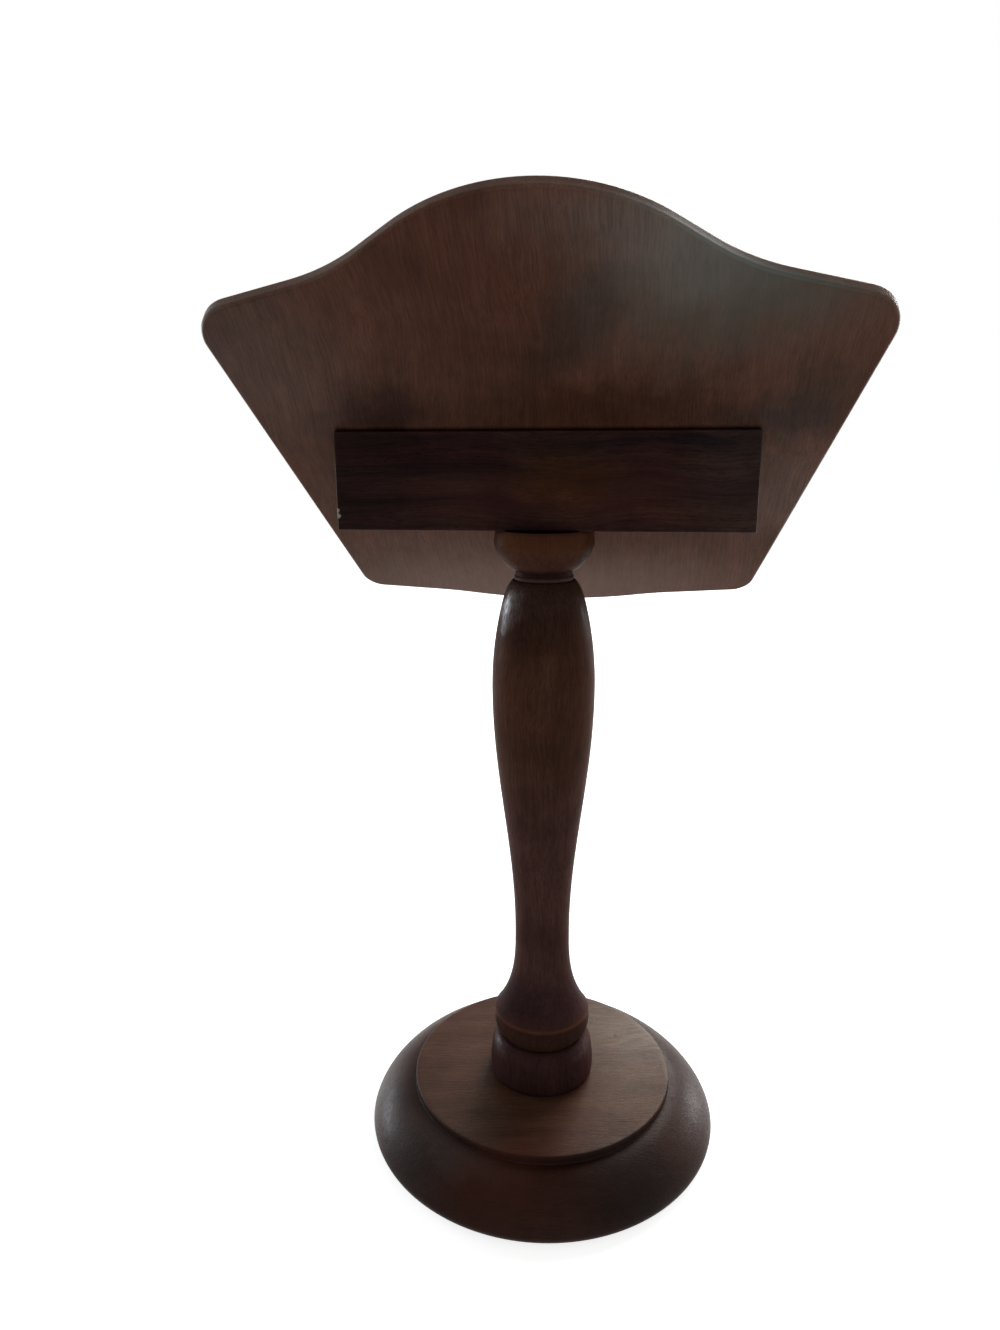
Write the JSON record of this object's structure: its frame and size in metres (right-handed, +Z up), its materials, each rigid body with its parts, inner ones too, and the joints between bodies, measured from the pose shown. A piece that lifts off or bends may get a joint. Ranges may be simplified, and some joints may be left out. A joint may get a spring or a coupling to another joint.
{
  "type": "cookbook stand",
  "caption": "Tabletop cookbook stand: a leaning shaped board with a book ledge, on a wedge block over a turned wooden column and a round base.",
  "frame": {"origin": "centre of the underside, on the table, on the axis of the column", "axes": "+Z up; +X along the width of the board; the reader sits on the -Y side and the board leans back towards +Y"},
  "size_m": [0.2608, 0.1807, 0.4255],
  "materials": {
    "turned_wood": "satin lacquer over a dark brown stain",
    "block_wood": "satin lacquer over a dark brown stain",
    "board_wood": "satin lacquer over a dark brown stain",
    "ledge_wood": "satin lacquer over a dark brown stain",
    "felt": "matt wool felt",
    "steel": "bright zinc plated",
    "brass": "satin, a little tarnished"
  },
  "bodies": {
    "root": {"base_disc": "turned_wood", "base_felt": "felt", "base_screw": "steel", "base_washer": "steel", "column": "turned_wood", "wedge_block": "block_wood", "book_board": "board_wood", "board_screws": "brass", "book_ledge": "ledge_wood", "ledge_pins": "steel", "ledge_lip": "ledge_wood"}
  },
  "joints": []
}
